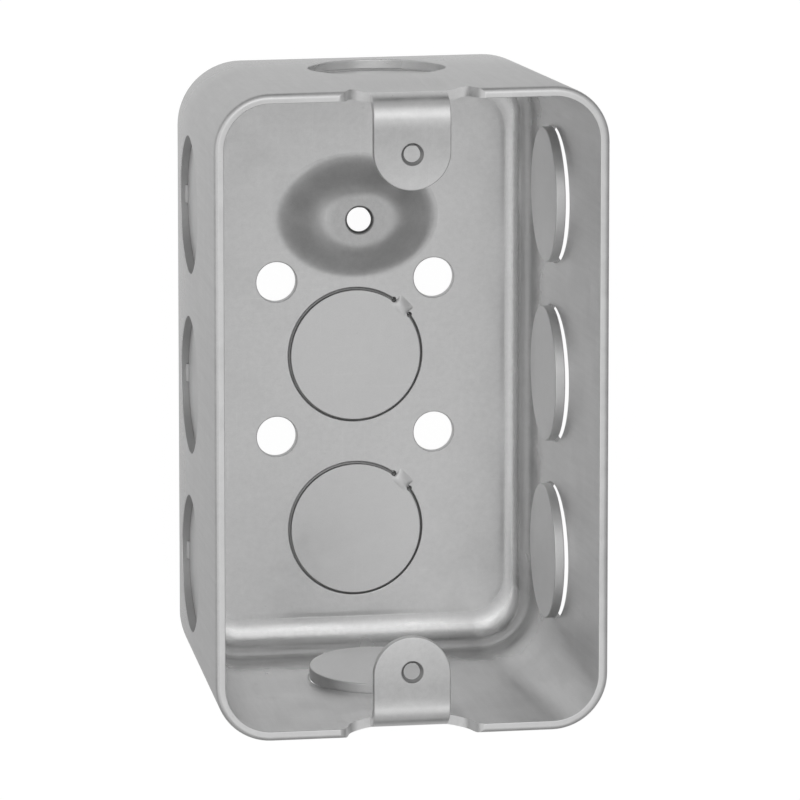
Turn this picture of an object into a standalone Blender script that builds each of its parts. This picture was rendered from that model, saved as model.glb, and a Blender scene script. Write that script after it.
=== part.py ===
"""Deep-drawn steel handy box: one pressing, open at the front, resting on its back.

Frame: metres, origin at the middle of the outer back face, +Z out of the opening, +Y along the
long side towards the ground-screw boss, +X across the width.
"""
import bmesh
import bpy
import numpy as np
from math import atan, cos, pi, radians, sin, tan
from mathutils import Matrix, Vector

MM = 0.001

# Shell
BOX_WIDTH = 63.5 * MM
BOX_LENGTH = 104.0 * MM
BOX_DEPTH = 54.0 * MM
WALL = 1.6 * MM
DRAFT = 1.8 * MM
RIM_CORNER_RADIUS = 9.0 * MM
BACK_CORNER_RADIUS = 10.5 * MM
FLOOR_CORNER_RADIUS = 6.0 * MM
BEND_RADIUS = 8.0 * MM
RIM_EDGE_RADIUS = 0.7 * MM
EAR_PULL = 0.75 * MM
EAR_PULL_LAP = 0.6 * MM
EAR_PULL_FADE = 4.6 * MM
EAR_PULL_HEIGHT = 6.5 * MM
EAR_PULL_RUNOUT = 10.0 * MM

# Knockouts
KNOCKOUT_DIAMETER = 22.2 * MM
SHEAR_GAP = 0.15 * MM
TIE_WIDTH = 3.4 * MM
TIE_REACH = 1.2 * MM
TIE_SKIN = 0.25 * MM
SIDE_KNOCKOUT_HEIGHT = 21.4 * MM
SIDE_KNOCKOUT_SETBACK = 22.6 * MM
BACK_KNOCKOUT_SETBACK = 23.4 * MM
BOSS_TO_KNOCKOUT = 22.95 * MM
KNOCKOUT_SPACE = 26.0 * MM
BACK_SLUG_RISE = 0.35 * MM
SIDE_SLUG_PUSH = (1.2 * MM, 2.1 * MM)
END_SLUG_PUSH = (2.35 * MM, 1.5 * MM)

# Mounting holes and ground-screw boss
MOUNTING_HOLE_DIAMETER = 6.6 * MM
MOUNTING_PITCH_X = 26.1 * MM
MOUNTING_PITCH_Y = 25.7 * MM
MOUNTING_BELOW_KNOCKOUT = 0.45 * MM
BOSS_SETBACK = 28.6 * MM
BOSS_HEIGHT = 4.1 * MM
BOSS_BASE = (12.8 * MM, 9.8 * MM)
BOSS_TOP = (5.6 * MM, 4.3 * MM)
GROUND_HOLE_DIAMETER = 3.9 * MM

# Device ears
EAR_SETBACK = 10.33 * MM
EAR_WIDTH = 12.4 * MM
EAR_TIP_RADIUS = EAR_WIDTH / 2
EAR_TIP_MARGIN = 5.75 * MM
EAR_BEND_RADIUS = 4.0 * MM
EAR_DROP = 0.3 * MM
EAR_ROOT_OVERLAP = 1.5 * MM
EAR_SEAT = 0.03 * MM
EAR_HOLE_DIAMETER = 2.9 * MM
NOTCH_WIDTH = 3.2 * MM
NOTCH_DEPTH = 4.0 * MM
NOTCH_FLARE = 1.4 * MM

# Mesh fineness
CORNER_STEPS = 8
BEND_STEPS = 7
ROUND_STEPS = 40
FADE_STEPS = 4

# Places that follow from the sizes above
TILT = atan(DRAFT / BOX_DEPTH)
BOSS_Y = BOX_LENGTH / 2 - BOSS_SETBACK
BACK_KNOCKOUT_Y = BOSS_Y - BOSS_TO_KNOCKOUT
MOUNTING_Y = BACK_KNOCKOUT_Y - MOUNTING_BELOW_KNOCKOUT
EAR_SPACING = BOX_LENGTH - 2 * EAR_SETBACK


def steel():
    """Satin zinc-coated sheet steel."""
    material = bpy.data.materials.new("galvanised_steel")
    material.use_nodes = True
    shader = material.node_tree.nodes["Principled BSDF"]
    shader.inputs["Base Color"].default_value = (0.46, 0.46, 0.46, 1)
    shader.inputs["Metallic"].default_value = 0.9
    shader.inputs["Roughness"].default_value = 0.45
    return material


def add_object(name, bm):
    """Put a closed bmesh in the scene as an object."""
    bmesh.ops.recalc_face_normals(bm, faces=bm.faces)
    mesh = bpy.data.meshes.new(name)
    bm.to_mesh(mesh)
    bm.free()
    item = bpy.data.objects.new(name, mesh)
    bpy.context.collection.objects.link(item)
    return item


def as_tool(item):
    """Mark an object as a Boolean operand that isn't part of the product."""
    item.hide_render = True
    item.display_type = "WIRE"
    return item


def combine(target, tool, operation):
    """Add an exact Boolean to the target."""
    step = target.modifiers.new(tool.name, "BOOLEAN")
    step.operation = operation
    step.solver = "EXACT"
    step.object = as_tool(tool)


def loft(bm, loops):
    """Skin a list of point loops and close the two ends."""
    rings = [[bm.verts.new(point) for point in loop] for loop in loops]
    count = len(rings[0])
    for lower, upper in zip(rings, rings[1:]):
        for i in range(count):
            j = (i + 1) % count
            bm.faces.new((lower[i], lower[j], upper[j], upper[i]))
    bm.faces.new(rings[0])
    bm.faces.new(rings[-1])


def wall_inset(z):
    """How far the outer wall lies inside the rim outline at height z."""
    return (BOX_DEPTH - z) * tan(TILT)


def ear_pull(x, z):
    """How far an end wall is drawn in beside its ear, fading to the sides and downwards."""
    side = min(1, max(0, abs(x) - EAR_WIDTH / 2 + EAR_PULL_LAP) / EAR_PULL_FADE)
    down = min(1, max(0, BOX_DEPTH - EAR_PULL_HEIGHT - z) / EAR_PULL_RUNOUT)
    return EAR_PULL * 0.25 * (1 + cos(pi * side)) * (1 + cos(pi * down))


def end_wall_columns():
    """Places across an end wall, from +X to -X, where the pull of its ear bends it."""
    flat = EAR_WIDTH / 2 - EAR_PULL_LAP
    right = [flat + EAR_PULL_FADE * step / FADE_STEPS for step in range(FADE_STEPS, -1, -1)]
    return right + [-x for x in reversed(right)]


def outline(inset, corner_radius, z):
    """Rounded rectangle at height z, inset from the rim, with its end walls drawn in."""
    half_x = BOX_WIDTH / 2 - inset
    half_y = BOX_LENGTH / 2 - inset
    points = []
    for quarter in range(4):
        sign_x = 1 if quarter in (0, 3) else -1
        sign_y = 1 if quarter in (0, 1) else -1
        centre_x = sign_x * (half_x - corner_radius)
        centre_y = sign_y * (half_y - corner_radius)
        for step in range(CORNER_STEPS + 1):
            angle = pi / 2 * (quarter + step / CORNER_STEPS)
            points.append([centre_x + corner_radius * cos(angle), centre_y + corner_radius * sin(angle)])
        if quarter in (0, 2):
            points.extend([sign_x * x, sign_y * half_y] for x in end_wall_columns())
    for point in points:
        if abs(abs(point[1]) - half_y) < 1e-7:
            point[1] -= np.sign(point[1]) * ear_pull(point[0], z)
    return [(x, y, z) for x, y in points]


def corner_radius_at(z):
    """Outer plan radius of the vertical corners, which opens out towards the back."""
    return BACK_CORNER_RADIUS + (RIM_CORNER_RADIUS - BACK_CORNER_RADIUS) * z / BOX_DEPTH


def bend_loops(radius, floor_z, skin, floor_corner):
    """Loops of the floor bend for the outer skin (skin 0) or the inner one (skin WALL)."""
    top_z = floor_z + radius * (1 - sin(TILT))
    wall_corner = corner_radius_at(top_z) - skin
    loops = []
    for step in range(BEND_STEPS + 1):
        angle = (pi / 2 - TILT) * step / BEND_STEPS
        z = floor_z + radius * (1 - cos(angle))
        inset = wall_inset(top_z) + skin + radius * (cos(TILT) - sin(angle))
        share = sin(angle) / cos(TILT)
        loops.append(outline(inset, floor_corner + (wall_corner - floor_corner) * share, z))
    return loops


def wall_loops(skin):
    """Loops up a wall where the pull of the ears bends it."""
    start = BOX_DEPTH - EAR_PULL_HEIGHT - EAR_PULL_RUNOUT
    heights = [start + EAR_PULL_RUNOUT * step / FADE_STEPS for step in range(FADE_STEPS + 1)]
    return [outline(wall_inset(z) + skin, corner_radius_at(z) - skin, z) for z in heights]


def rim_loops():
    """Rounded outer corner of the rim, then its flat face to the inner edge."""
    loops = []
    for step in range(4):
        angle = pi / 2 * step / 3
        z = BOX_DEPTH - RIM_EDGE_RADIUS * (1 - sin(angle))
        inset = wall_inset(z) + RIM_EDGE_RADIUS * (1 - cos(angle))
        loops.append(outline(inset, RIM_CORNER_RADIUS - RIM_EDGE_RADIUS * (1 - cos(angle)), z))
    loops.append(outline(WALL, RIM_CORNER_RADIUS - WALL, BOX_DEPTH))
    return loops


def shell():
    """Drawn tray with walls of even thickness, as one closed skin."""
    outer = bend_loops(BEND_RADIUS, 0, 0, BACK_CORNER_RADIUS - BEND_RADIUS) + wall_loops(0)
    inner = bend_loops(BEND_RADIUS - WALL, WALL, WALL, FLOOR_CORNER_RADIUS) + wall_loops(WALL)
    bm = bmesh.new()
    loft(bm, outer + rim_loops() + inner[::-1])
    return add_object("handy_box", bm)


def cylinder(name, radius, length, place, steps=ROUND_STEPS):
    """Closed cylinder centred on a placement matrix, along its local Z."""
    bm = bmesh.new()
    bmesh.ops.create_cone(bm, cap_ends=True, segments=steps, radius1=radius, radius2=radius,
                          depth=length, matrix=place)
    return add_object(name, bm)


def block(name, size, place):
    """Closed box of the given size centred on a placement matrix."""
    bm = bmesh.new()
    bmesh.ops.create_cube(bm, size=1, matrix=place @ Matrix.Diagonal((*size, 1)))
    return add_object(name, bm)


def frame(origin, lateral, up, outward):
    """Placement whose local X, Y and Z are lateral, up along the sheet, and outward."""
    columns = [Vector(axis).normalized() for axis in (lateral, up, outward)]
    place = Matrix([[column[row] for column in columns] for row in range(3)]).to_4x4()
    place.translation = Vector(origin)
    return place


def side_frame(side, y):
    """Frame on the outer face of a long wall (side is +1 or -1) at a knockout's centre."""
    x = BOX_WIDTH / 2 - wall_inset(SIDE_KNOCKOUT_HEIGHT)
    return frame((side * x, y, SIDE_KNOCKOUT_HEIGHT), (0, side, 0),
                 (side * sin(TILT), 0, cos(TILT)), (side * cos(TILT), 0, -sin(TILT)))


def end_frame(side):
    """Frame on the outer face of an end wall (side is +1 or -1) at its knockout's centre."""
    y = BOX_LENGTH / 2 - wall_inset(SIDE_KNOCKOUT_HEIGHT)
    return frame((0, side * y, SIDE_KNOCKOUT_HEIGHT), (-side, 0, 0),
                 (0, side * sin(TILT), cos(TILT)), (0, side * cos(TILT), -sin(TILT)))


def back_frame(y):
    """Frame on the outer back face at a knockout's centre."""
    return frame((0, y, 0), (-1, 0, 0), (0, 1, 0), (0, 0, -1))


def knockout(box, name, place, push, tie_angle):
    """Shear a slug out of the sheet, push it inwards and leave it on one tie.

    push holds the slug's travel at its lower and upper edge, and tie_angle is measured in the
    sheet from its up direction towards its lateral one.
    """
    radius = KNOCKOUT_DIAMETER / 2
    hole = cylinder(name + "_hole", radius, 4 * WALL, place @ Matrix.Translation((0, 0, -WALL / 2)))
    combine(box, hole, "DIFFERENCE")
    travel = (push[0] + push[1]) / 2
    lean = atan((push[1] - push[0]) / KNOCKOUT_DIAMETER)
    seat = place @ Matrix.Translation((0, 0, -WALL / 2 - travel)) @ Matrix.Rotation(-lean, 4, "X")
    slug = cylinder(name + "_slug", radius - SHEAR_GAP, WALL, seat)
    tie_travel = travel + (push[1] - push[0]) / 2 * cos(tie_angle)
    tie_height = WALL + tie_travel - 2 * TIE_SKIN
    turn = Matrix.Rotation(-tie_angle, 4, "Z")
    spot = Matrix.Translation((0, radius - SHEAR_GAP / 2, -TIE_SKIN - tie_height / 2))
    tie = block(name + "_tie", (TIE_WIDTH, 2 * TIE_REACH, tie_height), place @ turn @ spot)
    combine(box, slug, "UNION")
    combine(box, tie, "UNION")


def knockout_row(first, last):
    """Evenly spaced centres from first down to last, as many as KNOCKOUT_SPACE leaves room for."""
    gaps = int((first - last) / KNOCKOUT_SPACE)
    if gaps < 1:
        return [(first + last) / 2]
    return [first + (last - first) * index / gaps for index in range(gaps + 1)]


def knockouts(box):
    """Ten slugs: three in each long side, one in each end and two in the back."""
    side_end = BOX_LENGTH / 2 - SIDE_KNOCKOUT_SETBACK
    for index, y in enumerate(knockout_row(side_end, -side_end)):
        knockout(box, f"right_{index}", side_frame(1, y), SIDE_SLUG_PUSH, radians(180))
        knockout(box, f"left_{index}", side_frame(-1, y), SIDE_SLUG_PUSH, radians(180))
    for side, name in ((1, "top"), (-1, "bottom")):
        knockout(box, name, end_frame(side), END_SLUG_PUSH, 0)
    back_end = BACK_KNOCKOUT_SETBACK - BOX_LENGTH / 2
    for index, y in enumerate(knockout_row(BACK_KNOCKOUT_Y, back_end)):
        knockout(box, f"back_{index}", back_frame(y), (BACK_SLUG_RISE,) * 2, radians(-45))


def mounting_holes(box):
    """Four clearance holes in the back, on a rectangle about the upper knockout."""
    for x in (-1, 1):
        for y in (-1, 1):
            spot = (x * MOUNTING_PITCH_X / 2, MOUNTING_Y + y * MOUNTING_PITCH_Y / 2, WALL / 2)
            hole = cylinder(f"mounting_{x}_{y}", MOUNTING_HOLE_DIAMETER / 2, 4 * WALL,
                            Matrix.Translation(spot), 32)
            combine(box, hole, "DIFFERENCE")


def boss_form(name, base_z, shrink, below):
    """Oval dome with a flat top: its skirt flares at the base and rounds over at the top."""
    profile = [(1.12, -below), (1.12, 0.02), (1.0, 0.07), (0.86, 0.3), (0.6, 0.68), (0.32, 0.92), (0, 1)]
    loops = []
    for spread, rise in profile:
        half_x = BOSS_TOP[0] + (BOSS_BASE[0] - BOSS_TOP[0]) * spread - shrink
        half_y = BOSS_TOP[1] + (BOSS_BASE[1] - BOSS_TOP[1]) * spread - shrink
        z = base_z + BOSS_HEIGHT * rise
        turns = [2 * pi * step / ROUND_STEPS for step in range(ROUND_STEPS)]
        loops.append([(half_x * cos(turn), BOSS_Y + half_y * sin(turn), z) for turn in turns])
    bm = bmesh.new()
    loft(bm, loops)
    return add_object(name, bm)


def ground_boss(box):
    """Raised pad for the ground screw, hollow from behind, with its tapped hole."""
    combine(box, boss_form("boss", WALL, 0, WALL / 2 / BOSS_HEIGHT), "UNION")
    combine(box, boss_form("boss_hollow", 0, WALL * 0.6, WALL / BOSS_HEIGHT), "DIFFERENCE")
    place = Matrix.Translation((0, BOSS_Y, BOSS_HEIGHT))
    combine(box, cylinder("ground_hole", GROUND_HOLE_DIAMETER / 2, 4 * BOSS_HEIGHT, place, 32), "DIFFERENCE")


def ear_sections():
    """Outer and inner (y, z) points of the ear's fold, from its root up to the flat."""
    top = BOX_DEPTH - EAR_DROP
    root = BOX_LENGTH / 2 - EAR_PULL - EAR_SEAT
    lean = TILT
    centre_y = root - wall_inset(top - EAR_BEND_RADIUS) - EAR_BEND_RADIUS * cos(lean)
    centre_z = top - EAR_BEND_RADIUS
    low_z = centre_z - EAR_ROOT_OVERLAP
    low_y = centre_y + EAR_BEND_RADIUS * cos(lean) - EAR_ROOT_OVERLAP * tan(lean)
    sections = [((low_y, low_z), (low_y - WALL, low_z))]
    for step in range(BEND_STEPS + 1):
        angle = -lean + (pi / 2 + lean) * step / BEND_STEPS
        ring = [(centre_y + r * cos(angle), centre_z + r * sin(angle))
                for r in (EAR_BEND_RADIUS, EAR_BEND_RADIUS - WALL)]
        sections.append(tuple(ring))
    return sections


def ear(box, side):
    """Device ear folded in from an end wall, with a round tip and its tapped hole."""
    bm = bmesh.new()
    half = EAR_WIDTH / 2
    rings = []
    for (outer_y, outer_z), (inner_y, inner_z) in ear_sections():
        corners = ((-half, outer_y, outer_z), (half, outer_y, outer_z),
                   (half, inner_y, inner_z), (-half, inner_y, inner_z))
        rings.append([bm.verts.new((x, side * y, z)) for x, y, z in corners])
    bm.faces.new(rings[0])
    for lower, upper in zip(rings, rings[1:]):
        for i in range(4):
            bm.faces.new((lower[i], lower[(i + 1) % 4], upper[(i + 1) % 4], upper[i]))
    top_z = BOX_DEPTH - EAR_DROP
    tip_y = EAR_SPACING / 2 - EAR_TIP_MARGIN + EAR_TIP_RADIUS
    turns = [pi * step / 18 for step in range(19)]
    plan = [(-half * cos(turn), side * (tip_y - EAR_TIP_RADIUS * sin(turn))) for turn in turns]
    upper = [bm.verts.new((x, y, top_z)) for x, y in plan]
    lower = [bm.verts.new((x, y, top_z - WALL)) for x, y in plan]
    left_top, right_top, right_low, left_low = rings[-1]
    bm.faces.new([left_top] + upper + [right_top])
    bm.faces.new([left_low] + lower + [right_low])
    top_edge = [left_top] + upper + [right_top]
    low_edge = [left_low] + lower + [right_low]
    for i in range(len(top_edge) - 1):
        bm.faces.new((top_edge[i], top_edge[i + 1], low_edge[i + 1], low_edge[i]))
    piece = add_object("ear_top" if side > 0 else "ear_bottom", bm)
    combine(box, piece, "UNION")
    place = Matrix.Translation((0, side * EAR_SPACING / 2, BOX_DEPTH - EAR_DROP - WALL / 2))
    hole = cylinder(piece.name + "_hole", EAR_HOLE_DIAMETER / 2, 4 * WALL, place, 24)
    combine(box, hole, "DIFFERENCE")


def ear_reliefs(box, side):
    """Trim the end wall down beside and behind an ear, so that the ear can fold."""
    foot = EAR_WIDTH / 2 + NOTCH_WIDTH
    slope = NOTCH_FLARE / NOTCH_DEPTH
    corners = []
    for half, z in ((foot, BOX_DEPTH - NOTCH_DEPTH), (foot + 2 * NOTCH_FLARE, BOX_DEPTH + NOTCH_FLARE / slope)):
        corners.append([(-half, z), (half, z)])
    section = corners[0] + corners[1][::-1]
    bm = bmesh.new()
    loft(bm, [[(x, side * (BOX_LENGTH / 2 + offset), z) for x, z in section] for offset in (-4 * WALL, 4 * WALL)])
    combine(box, add_object(f"relief_{side}", bm), "DIFFERENCE")


def build():
    """Clear the scene and model the box."""
    for item in list(bpy.data.objects):
        bpy.data.objects.remove(item)
    box = shell()
    ground_boss(box)
    mounting_holes(box)
    knockouts(box)
    for side in (1, -1):
        ear_reliefs(box, side)
        ear(box, side)
    box.data.materials.append(steel())
    box.data.shade_smooth()
    box.data.set_sharp_from_angle(angle=radians(35))


build()
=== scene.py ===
"""Handy box, dressed: the drawn steel box with its slugs, ears and threads on a pale studio floor.

Lengths are in metres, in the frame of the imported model: +Z out of the open front, +Y along the
long side towards the ground-screw boss, origin at the middle of the outer back face.
"""
import bmesh
import bpy
from math import atan, cos, pi, radians, sin, tan
from bpy.props import FloatProperty, FloatVectorProperty, PointerProperty
from mathutils import Matrix, Vector


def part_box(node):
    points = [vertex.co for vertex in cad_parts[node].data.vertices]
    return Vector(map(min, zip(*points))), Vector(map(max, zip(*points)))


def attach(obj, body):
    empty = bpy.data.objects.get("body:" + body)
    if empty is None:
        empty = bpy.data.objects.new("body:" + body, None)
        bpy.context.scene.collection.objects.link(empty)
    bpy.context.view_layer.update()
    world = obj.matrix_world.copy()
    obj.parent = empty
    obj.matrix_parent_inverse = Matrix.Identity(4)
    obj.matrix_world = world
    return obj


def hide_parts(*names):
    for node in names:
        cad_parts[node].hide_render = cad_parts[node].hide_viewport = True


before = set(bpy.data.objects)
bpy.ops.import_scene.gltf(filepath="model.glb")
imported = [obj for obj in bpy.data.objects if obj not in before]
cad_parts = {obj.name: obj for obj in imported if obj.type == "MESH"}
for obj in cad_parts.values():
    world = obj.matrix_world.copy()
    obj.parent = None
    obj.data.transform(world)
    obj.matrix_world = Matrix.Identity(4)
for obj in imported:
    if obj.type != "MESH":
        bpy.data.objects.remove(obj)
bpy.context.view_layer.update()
NODE = "handy_box"
BODY = "root"
LOW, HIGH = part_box(NODE)

bl_info = {
    "name": "Handy Box",
    "version": (1, 0, 0),
    "blender": (4, 5, 0),
    "location": "View3D > Sidebar > Handy Box",
    "description": "Builds a drawn steel handy box with knockouts, device ears and a ground boss",
    "category": "Add Mesh",
}

MM = 0.001
OVERLAP = 0.01 * MM
CORNER_STEPS = 18
BEND_STEPS = 14
FADE_STEPS = 14
WALL_STEPS = 12
RIM_STEPS = 5
ROUND_STEPS = 96
HOLE_STEPS = 64
EAR_HOLE_STEPS = 48
NICK_STEPS = 32
EDGE_STEPS = 4
BOSS_STEPS = 22
CURVE_STEPS = 8
EAR_FLAT_STEPS = 6
EAR_FOLD_STEPS = 16
EAR_TIP_STEPS = 40
TIE_STEPS = 12
CROWN_STEPS = 8
THREAD_STEPS = 40
SMOOTH_ANGLE = 30
THREAD_SMOOTH_ANGLE = 40


def length(name, description, default):
    """A length property in metres."""
    return FloatProperty(name=name, description=description, default=default, unit="LENGTH",
                         precision=5)


def share(name, description, default):
    """A property between 0 and 1."""
    return FloatProperty(name=name, description=description, default=default, min=0, max=1,
                         subtype="FACTOR")


def colour(name, description, default):
    """A colour property."""
    return FloatVectorProperty(name=name, description=description, default=default, size=3,
                               min=0, max=1, subtype="COLOR")


class ShellSizes(bpy.types.PropertyGroup):
    """Sizes of the drawn shell."""
    width: length("Width", "Outside width at the rim", HIGH[0] - LOW[0])
    long_side: length("Length", "Outside length at the rim", HIGH[1] - LOW[1])
    depth: length("Depth", "Height from the back to the rim", HIGH[2] - LOW[2])
    wall: length("Sheet", "Thickness of the sheet", 1.6 * MM)
    draft: length("Draft", "How far each wall leans in from rim to back", 1.8 * MM)
    rim_corner: length("Rim corner", "Plan radius of the corners at the rim", 9.0 * MM)
    back_corner: length("Back corner", "Plan radius of the corners at the back", 10.5 * MM)
    floor_corner: length("Floor corner", "Plan radius of the flat floor's corners inside", 6.0 * MM)
    bend: length("Floor bend", "Outer radius between the back and the walls", 8.0 * MM)
    inner_rise: length("Inner bend, rise", "Height of the bend inside the box", 5.5 * MM)
    side_run: length("Inner bend, side", "Width of the bend inside, along a long wall", 3.6 * MM)
    end_run: length("Inner bend, end", "Width of the bend inside, along an end wall", 5.4 * MM)
    rim_outer: length("Rim outer edge", "Radius of the rim's outer edge", 0.95 * MM)
    rim_inner: length("Rim inner edge", "Radius of the rim's inner edge", 0.16 * MM)


class HoleSizes(bpy.types.PropertyGroup):
    """Sizes of the knockouts, the holes and the ground boss."""
    knockout: length("Knockout", "Diameter of a knockout", 22.2 * MM)
    shear_gap: length("Shear gap", "Gap between a slug and its hole", 0.12 * MM)
    edge: length("Punched edge", "Radius of a punched edge", 0.22 * MM)
    tie: length("Tie", "Width of the tie that holds a slug", 3.4 * MM)
    nick: length("Nick", "Radius of the nick beside a back tie", 0.36 * MM)
    side_height: length("Side height", "Height of the wall knockouts' centres", 21.4 * MM)
    side_setback: length("Side setback", "First side knockout to the box's end", 22.6 * MM)
    back_setback: length("Back setback", "Last back knockout to the box's end", 23.4 * MM)
    boss_gap: length("Boss to knockout", "Ground boss to the upper back knockout", 22.95 * MM)
    space: length("Knockout space", "Least distance between neighbouring knockouts", 26.0 * MM)
    side_push_low: length("Side push, lower", "Slug travel at a side tie", 1.2 * MM)
    side_push_high: length("Side push, upper", "Slug travel opposite a side tie", 2.1 * MM)
    end_push_low: length("End push, lower", "Slug travel opposite an end tie", 2.35 * MM)
    end_push_high: length("End push, upper", "Slug travel at an end tie", 1.5 * MM)
    back_rise: length("Back slug rise", "How far a back slug stands in", 0.35 * MM)
    mounting: length("Mounting hole", "Diameter of a mounting hole", 6.6 * MM)
    mounting_x: length("Mounting pitch X", "Distance between mounting holes along X", 26.1 * MM)
    mounting_y: length("Mounting pitch Y", "Distance between mounting holes along Y", 25.7 * MM)
    mounting_drop: length("Mounting drop", "Upper knockout above the mounting holes' middle", 0.45 * MM)
    boss_setback: length("Boss setback", "Ground boss to the box's end", 28.6 * MM)
    boss_height: length("Boss height", "How far the ground boss stands in", 4.1 * MM)
    ground_major: length("Ground thread", "Outer diameter of the ground screw's thread", 4.5 * MM)
    ground_minor: length("Ground bore", "Inner diameter of the ground screw's thread", 3.9 * MM)


class EarSizes(bpy.types.PropertyGroup):
    """Sizes of the two device ears."""
    setback: length("Ear setback", "Ear hole to the box's end", 10.33 * MM)
    width: length("Ear width", "Width of an ear", 12.4 * MM)
    tip: length("Ear tip", "Distance from an ear's hole to its tip", 5.75 * MM)
    bend: length("Ear bend", "Outer radius of an ear's fold", 4.0 * MM)
    drop: length("Ear drop", "How far an ear lies below the rim", 0.3 * MM)
    pull: length("Ear pull", "How far the wall is drawn in at an ear", 0.75 * MM)
    notch: length("Relief width", "Width of the relief beside an ear", 3.2 * MM)
    notch_depth: length("Relief depth", "Depth of the relief below the rim", 4.0 * MM)
    notch_flare: length("Relief flare", "How far the relief's sides lean out", 1.4 * MM)
    major: length("Ear thread", "Outer diameter of the ear's thread", 3.5 * MM)
    minor: length("Ear bore", "Inner diameter of the ear's thread", 2.6 * MM)
    pitch: length("Thread pitch", "Pitch of the threads", 0.79 * MM)


class Finish(bpy.types.PropertyGroup):
    """Colours and gloss of the steel, and the studio."""
    zinc: colour("Zinc", "Base colour of the zinc coating", (0.765, 0.765, 0.765))
    slug: colour("Slug zinc", "Base colour of the coating on the slugs", (0.765, 0.765, 0.765))
    sheared: colour("Sheared steel", "Base colour of the rim's sheared face", (0.81, 0.81, 0.81))
    # Dark partly as painted shade inside the tapped holes.
    thread: colour("Thread steel", "Base colour of the cut threads", (0.30, 0.30, 0.30))
    # Darker than the zinc partly as painted shade in the knockouts' gaps.
    shear_wall_shade: colour("Sheared wall", "Base colour of the knockouts' sheared walls", (0.46, 0.46, 0.46))
    roughness: share("Roughness", "Mean roughness of the zinc coating", 0.42)
    burnish: share("Burnish", "How much smoother the drawn bends are than the flats", 0.21)
    metallic: share("Metallic", "Metallic share of the zinc coating", 0.92)
    floor: colour("Floor", "Colour of the studio floor", (0.10, 0.10, 0.10))


def settings():
    """The property groups, as registered on the scene."""
    scene = bpy.context.scene
    return scene.handy_shell, scene.handy_holes, scene.handy_ears, scene.handy_finish


def tilt():
    """Angle by which the walls lean out towards the rim."""
    shell = settings()[0]
    return atan(shell.draft / shell.depth)


def wall_inset(z):
    """How far the outer wall lies inside the rim outline at height z."""
    return (settings()[0].depth - z) * tan(tilt())


def corner_radius(z):
    """Outer plan radius of the vertical corners at height z."""
    shell = settings()[0]
    return shell.back_corner + (shell.rim_corner - shell.back_corner) * z / shell.depth


def boss_y():
    """Place of the ground boss along Y."""
    shell, holes, _, _ = settings()
    return shell.long_side / 2 - holes.boss_setback


def ear_y():
    """Distance of an ear's hole from the middle of the box."""
    shell, _, ears, _ = settings()
    return shell.long_side / 2 - ears.setback


PULL_LAP = 0.6 * MM
PULL_FADE = 4.6 * MM
PULL_HEIGHT = 6.5 * MM
PULL_RUNOUT = 10.0 * MM


def ear_pull(x, z):
    """How far an end wall is drawn in beside its ear, fading to the sides and downwards."""
    shell, _, ears, _ = settings()
    side = min(1, max(0, abs(x) - ears.width / 2 + PULL_LAP) / PULL_FADE)
    down = min(1, max(0, shell.depth - PULL_HEIGHT - z) / PULL_RUNOUT)
    return ears.pull * 0.25 * (1 + cos(pi * side)) * (1 + cos(pi * down))


def end_wall_columns():
    """Places across an end wall, from +X to -X, where the pull of its ear bends it."""
    flat = settings()[2].width / 2 - PULL_LAP
    right = [flat + PULL_FADE * step / FADE_STEPS for step in range(FADE_STEPS, -1, -1)]
    return right + [flat / 3, -flat / 3] + [-x for x in reversed(right)]


def outline(inset, radius, z, end_inset=None):
    """Rounded rectangle at height z, inset from the rim, with its end walls drawn in."""
    shell = settings()[0]
    half_x = shell.width / 2 - inset
    half_y = shell.long_side / 2 - (inset if end_inset is None else end_inset)
    points = []
    for quarter in range(4):
        sign_x = 1 if quarter in (0, 3) else -1
        sign_y = 1 if quarter in (0, 1) else -1
        centre_x = sign_x * (half_x - radius)
        centre_y = sign_y * (half_y - radius)
        for step in range(CORNER_STEPS + 1):
            angle = pi / 2 * (quarter + step / CORNER_STEPS)
            points.append((centre_x + radius * cos(angle), centre_y + radius * sin(angle), z))
        if quarter in (0, 2):
            for x in end_wall_columns():
                points.append((sign_x * x, sign_y * (half_y - ear_pull(x, z)), z))
    return points


def bend_loops(rise, runs, floor_z, skin, floor_corner):
    """Loops of the floor bend, outer (skin 0) or inner (skin wall).

    The runs are its widths along the long walls and along the end walls.
    """
    lean = tilt()
    top_z = floor_z + rise * (1 - sin(lean))
    wall_corner = corner_radius(top_z) - skin
    loops = []
    for step in range(BEND_STEPS + 1):
        angle = (pi / 2 - lean) * step / BEND_STEPS
        side, end = [wall_inset(top_z) + skin + run * (cos(lean) - sin(angle)) for run in runs]
        plan = floor_corner + (wall_corner - floor_corner) * sin(angle) / cos(lean)
        loops.append(outline(side, plan, floor_z + rise * (1 - cos(angle)), end))
    return loops


END_ZONE = (0.68, 0.14)
SIDE_DRAW = 0.35
DRAW_LINE = ((1.1, 0.0), (0.8, 0.01), (0.52, 0.04), (0.28, 0.08), (0.1, 0.1), (0.02, 0.08))


def draw_line_loops(rise, runs, floor_z, skin, floor_corner):
    """Shallow line that the punch leaves round the flat floor, fainter along the long walls.

    DRAW_LINE gives its reach and depth in millimetres, END_ZONE where the deeper part starts and
    over what share of the half length it deepens.
    """
    top_z = floor_z + rise * (1 - sin(tilt()))
    side, end = [wall_inset(top_z) + skin + run * cos(tilt()) for run in runs]
    half_long = settings()[0].long_side / 2
    loops = []
    for reach, drop in DRAW_LINE:
        loop = []
        corner = floor_corner - reach * MM
        for x, y, z in outline(side + reach * MM, corner, floor_z, end + reach * MM):
            near_end = min(1.0, max(0.0, (abs(y) / half_long - END_ZONE[0]) / END_ZONE[1]))
            loop.append((x, y, z - drop * MM * (SIDE_DRAW + (1 - SIDE_DRAW) * near_end)))
        loops.append(loop)
    return loops


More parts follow.
